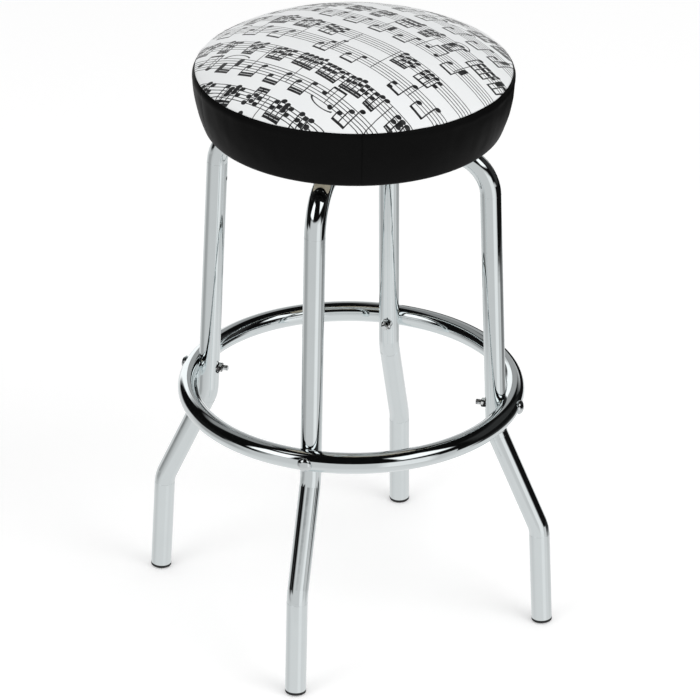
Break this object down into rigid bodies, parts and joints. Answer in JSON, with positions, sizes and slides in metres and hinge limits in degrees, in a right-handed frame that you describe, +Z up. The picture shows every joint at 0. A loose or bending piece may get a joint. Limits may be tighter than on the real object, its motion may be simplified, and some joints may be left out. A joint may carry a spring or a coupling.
{
  "type": "swivel bar stool",
  "caption": "Round padded bar stool seat that turns on a ball-bearing swivel, carried by bent chrome tube legs with a bolted tube foot ring.",
  "frame": {"origin": "on the floor, below the middle of the seat and between the feet", "axes": "+Z up; the legs stand along +X (right), +Y (back), -X (left) and -Y (front)"},
  "size_m": [0.519, 0.519, 0.7602],
  "materials": {
    "printed_vinyl": "gloss",
    "black_vinyl": "gloss",
    "foam": "matte",
    "plywood": "matte",
    "zinc_steel": "satin",
    "bearing_steel": "polished",
    "chrome_tube": "polished",
    "chrome_fastener": "polished",
    "black_plastic": "matte"
  },
  "bodies": {
    "frame": {"swivel_bottom_plate": "zinc_steel", "pivot_rivet": "zinc_steel", "leg_front": "chrome_tube", "leg_right": "chrome_tube", "leg_back": "chrome_tube", "leg_left": "chrome_tube", "foot_ring": "chrome_tube", "ring_bolts": "chrome_fastener", "ring_lock_washers": "chrome_fastener", "ring_nuts": "chrome_fastener", "leg_bolts": "zinc_steel", "leg_washers": "zinc_steel", "leg_nuts": "zinc_steel", "glide_plug_front": "black_plastic", "glide_plug_right": "black_plastic", "glide_plug_back": "black_plastic", "glide_plug_left": "black_plastic", "glide_front": "chrome_fastener", "glide_right": "chrome_fastener", "glide_back": "chrome_fastener", "glide_left": "chrome_fastener"},
    "bearing": {"bearing_balls": "bearing_steel", "ball_cage": "zinc_steel"},
    "seat": {"seat_top_panel": "printed_vinyl", "seat_side_band": "black_vinyl", "seat_foam": "foam", "seat_edge_foam": "foam", "seat_board": "plywood", "cover_staples": "zinc_steel", "tee_nuts": "zinc_steel", "seat_screws": "zinc_steel", "swivel_top_plate": "zinc_steel"}
  },
  "joints": [
    {"name": "seat_swivel", "type": "hinge", "parent": "frame", "child": "seat", "pos_m": [0, 0, 0.6426], "axis": [0, 0, 1], "continuous": true},
    {"name": "bearing_roll", "type": "hinge", "parent": "frame", "child": "bearing", "pos_m": [0, 0, 0.6426], "axis": [0, 0, 1], "continuous": true}
  ],
  "couplings": [
    {"joint": "bearing_roll", "follows": "seat_swivel", "ratio": 0.5}
  ]
}
